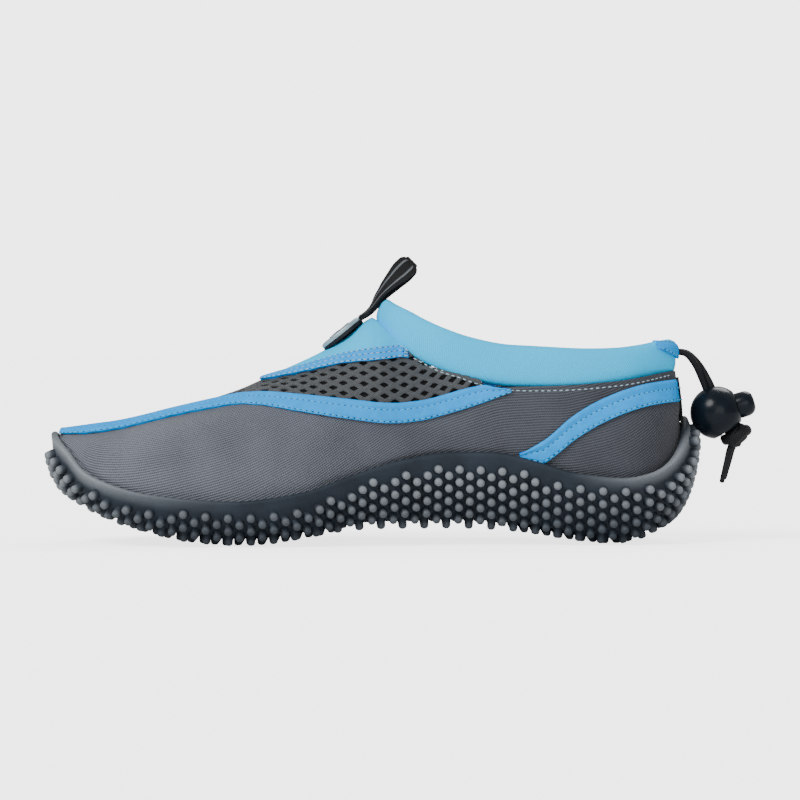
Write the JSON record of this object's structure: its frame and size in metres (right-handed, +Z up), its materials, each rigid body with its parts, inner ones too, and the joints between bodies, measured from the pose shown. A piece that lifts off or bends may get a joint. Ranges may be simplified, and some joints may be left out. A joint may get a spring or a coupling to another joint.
{
  "type": "neoprene water shoe",
  "caption": "Low slip-on water shoe with a studded rubber sole, neoprene upper, mesh vamp, padded collar, drawcord with a sprung lock, and a pull loop.",
  "frame": {"origin": "on the ground, at the bottom centre of the shoe's box, measured without the drawcord's free part and its lock", "axes": "+X from the toe to the heel, +Y to the outer side of the foot, +Z up"},
  "size_m": [0.2744, 0.095, 0.1085],
  "materials": {
    "sole_rubber": "matte, dusty on the stud tips",
    "board": "matte",
    "footbed_foam": "matte",
    "grey_neoprene": "fine ribbed knit",
    "spacer_mesh": "open mesh with a slight sheen",
    "lining": "matte",
    "cyan_neoprene": "fine knit, matte",
    "sky_trim": "smooth coated, stitched",
    "black_tape": "ribbed tape",
    "elastic_cord": "braided",
    "lock_plastic": "satin",
    "spring_steel": "bright",
    "webbing": "woven, with reflective stripes",
    "badge_black": "matte",
    "badge_silver": "satin, silver"
  },
  "bodies": {
    "shoe": {"outsole": "sole_rubber", "lasting_board": "board", "footbed": "footbed_foam", "quarter_medial": "grey_neoprene", "quarter_lateral": "grey_neoprene", "vamp_mesh_front": "spacer_mesh", "vamp_mesh_medial": "spacer_mesh", "vamp_mesh_lateral": "spacer_mesh", "vamp_lining": "lining", "tongue_panel": "cyan_neoprene", "tongue_band_medial": "sky_trim", "tongue_band_lateral": "sky_trim", "side_band_medial": "sky_trim", "side_band_lateral": "sky_trim", "heel_band_medial": "sky_trim", "heel_band_lateral": "sky_trim", "heel_back_tape": "black_tape", "collar": "cyan_neoprene", "collar_end_patch": "sky_trim", "collar_drawcord": "elastic_cord", "pull_loop_base": "webbing", "badge_backing": "badge_black", "badge_plate": "badge_silver", "badge_emblem": "badge_silver"},
    "drawcord": {"drawcord_medial": "elastic_cord", "drawcord_lateral": "elastic_cord", "cord_knot": "elastic_cord", "cord_tail_medial": "elastic_cord", "cord_tail_lateral": "elastic_cord"},
    "lock": {"lock_barrel": "lock_plastic", "lock_spring": "spring_steel"},
    "plunger": {"lock_plunger": "lock_plastic"},
    "pull_loop": {"pull_loop": "webbing"}
  },
  "joints": [
    {"name": "drawcord_swing", "type": "hinge", "parent": "shoe", "child": "drawcord", "pos_m": [0.1178, 0.001, 0.0732], "axis": [0, -1, 0], "range_deg": [0, 45]},
    {"name": "lock_slide", "type": "slide", "parent": "drawcord", "child": "lock", "axis": [-0.2924, 0, 0.9563], "range_m": [0, 0.0035]},
    {"name": "plunger_press", "type": "slide", "parent": "lock", "child": "plunger", "axis": [-0.9563, 0, -0.2924], "range_m": [0, 0.0022], "stiffness_N_per_m": 300, "springref_m": -0.002, "deforming": ["lock_spring"]},
    {"name": "pull_loop_fold", "type": "hinge", "parent": "shoe", "child": "pull_loop", "pos_m": [-0.0004, -0.0009, 0.0912], "axis": [0, -1, 0], "range_deg": [-3, 80], "stiffness_Nm_per_rad": 0.002}
  ]
}
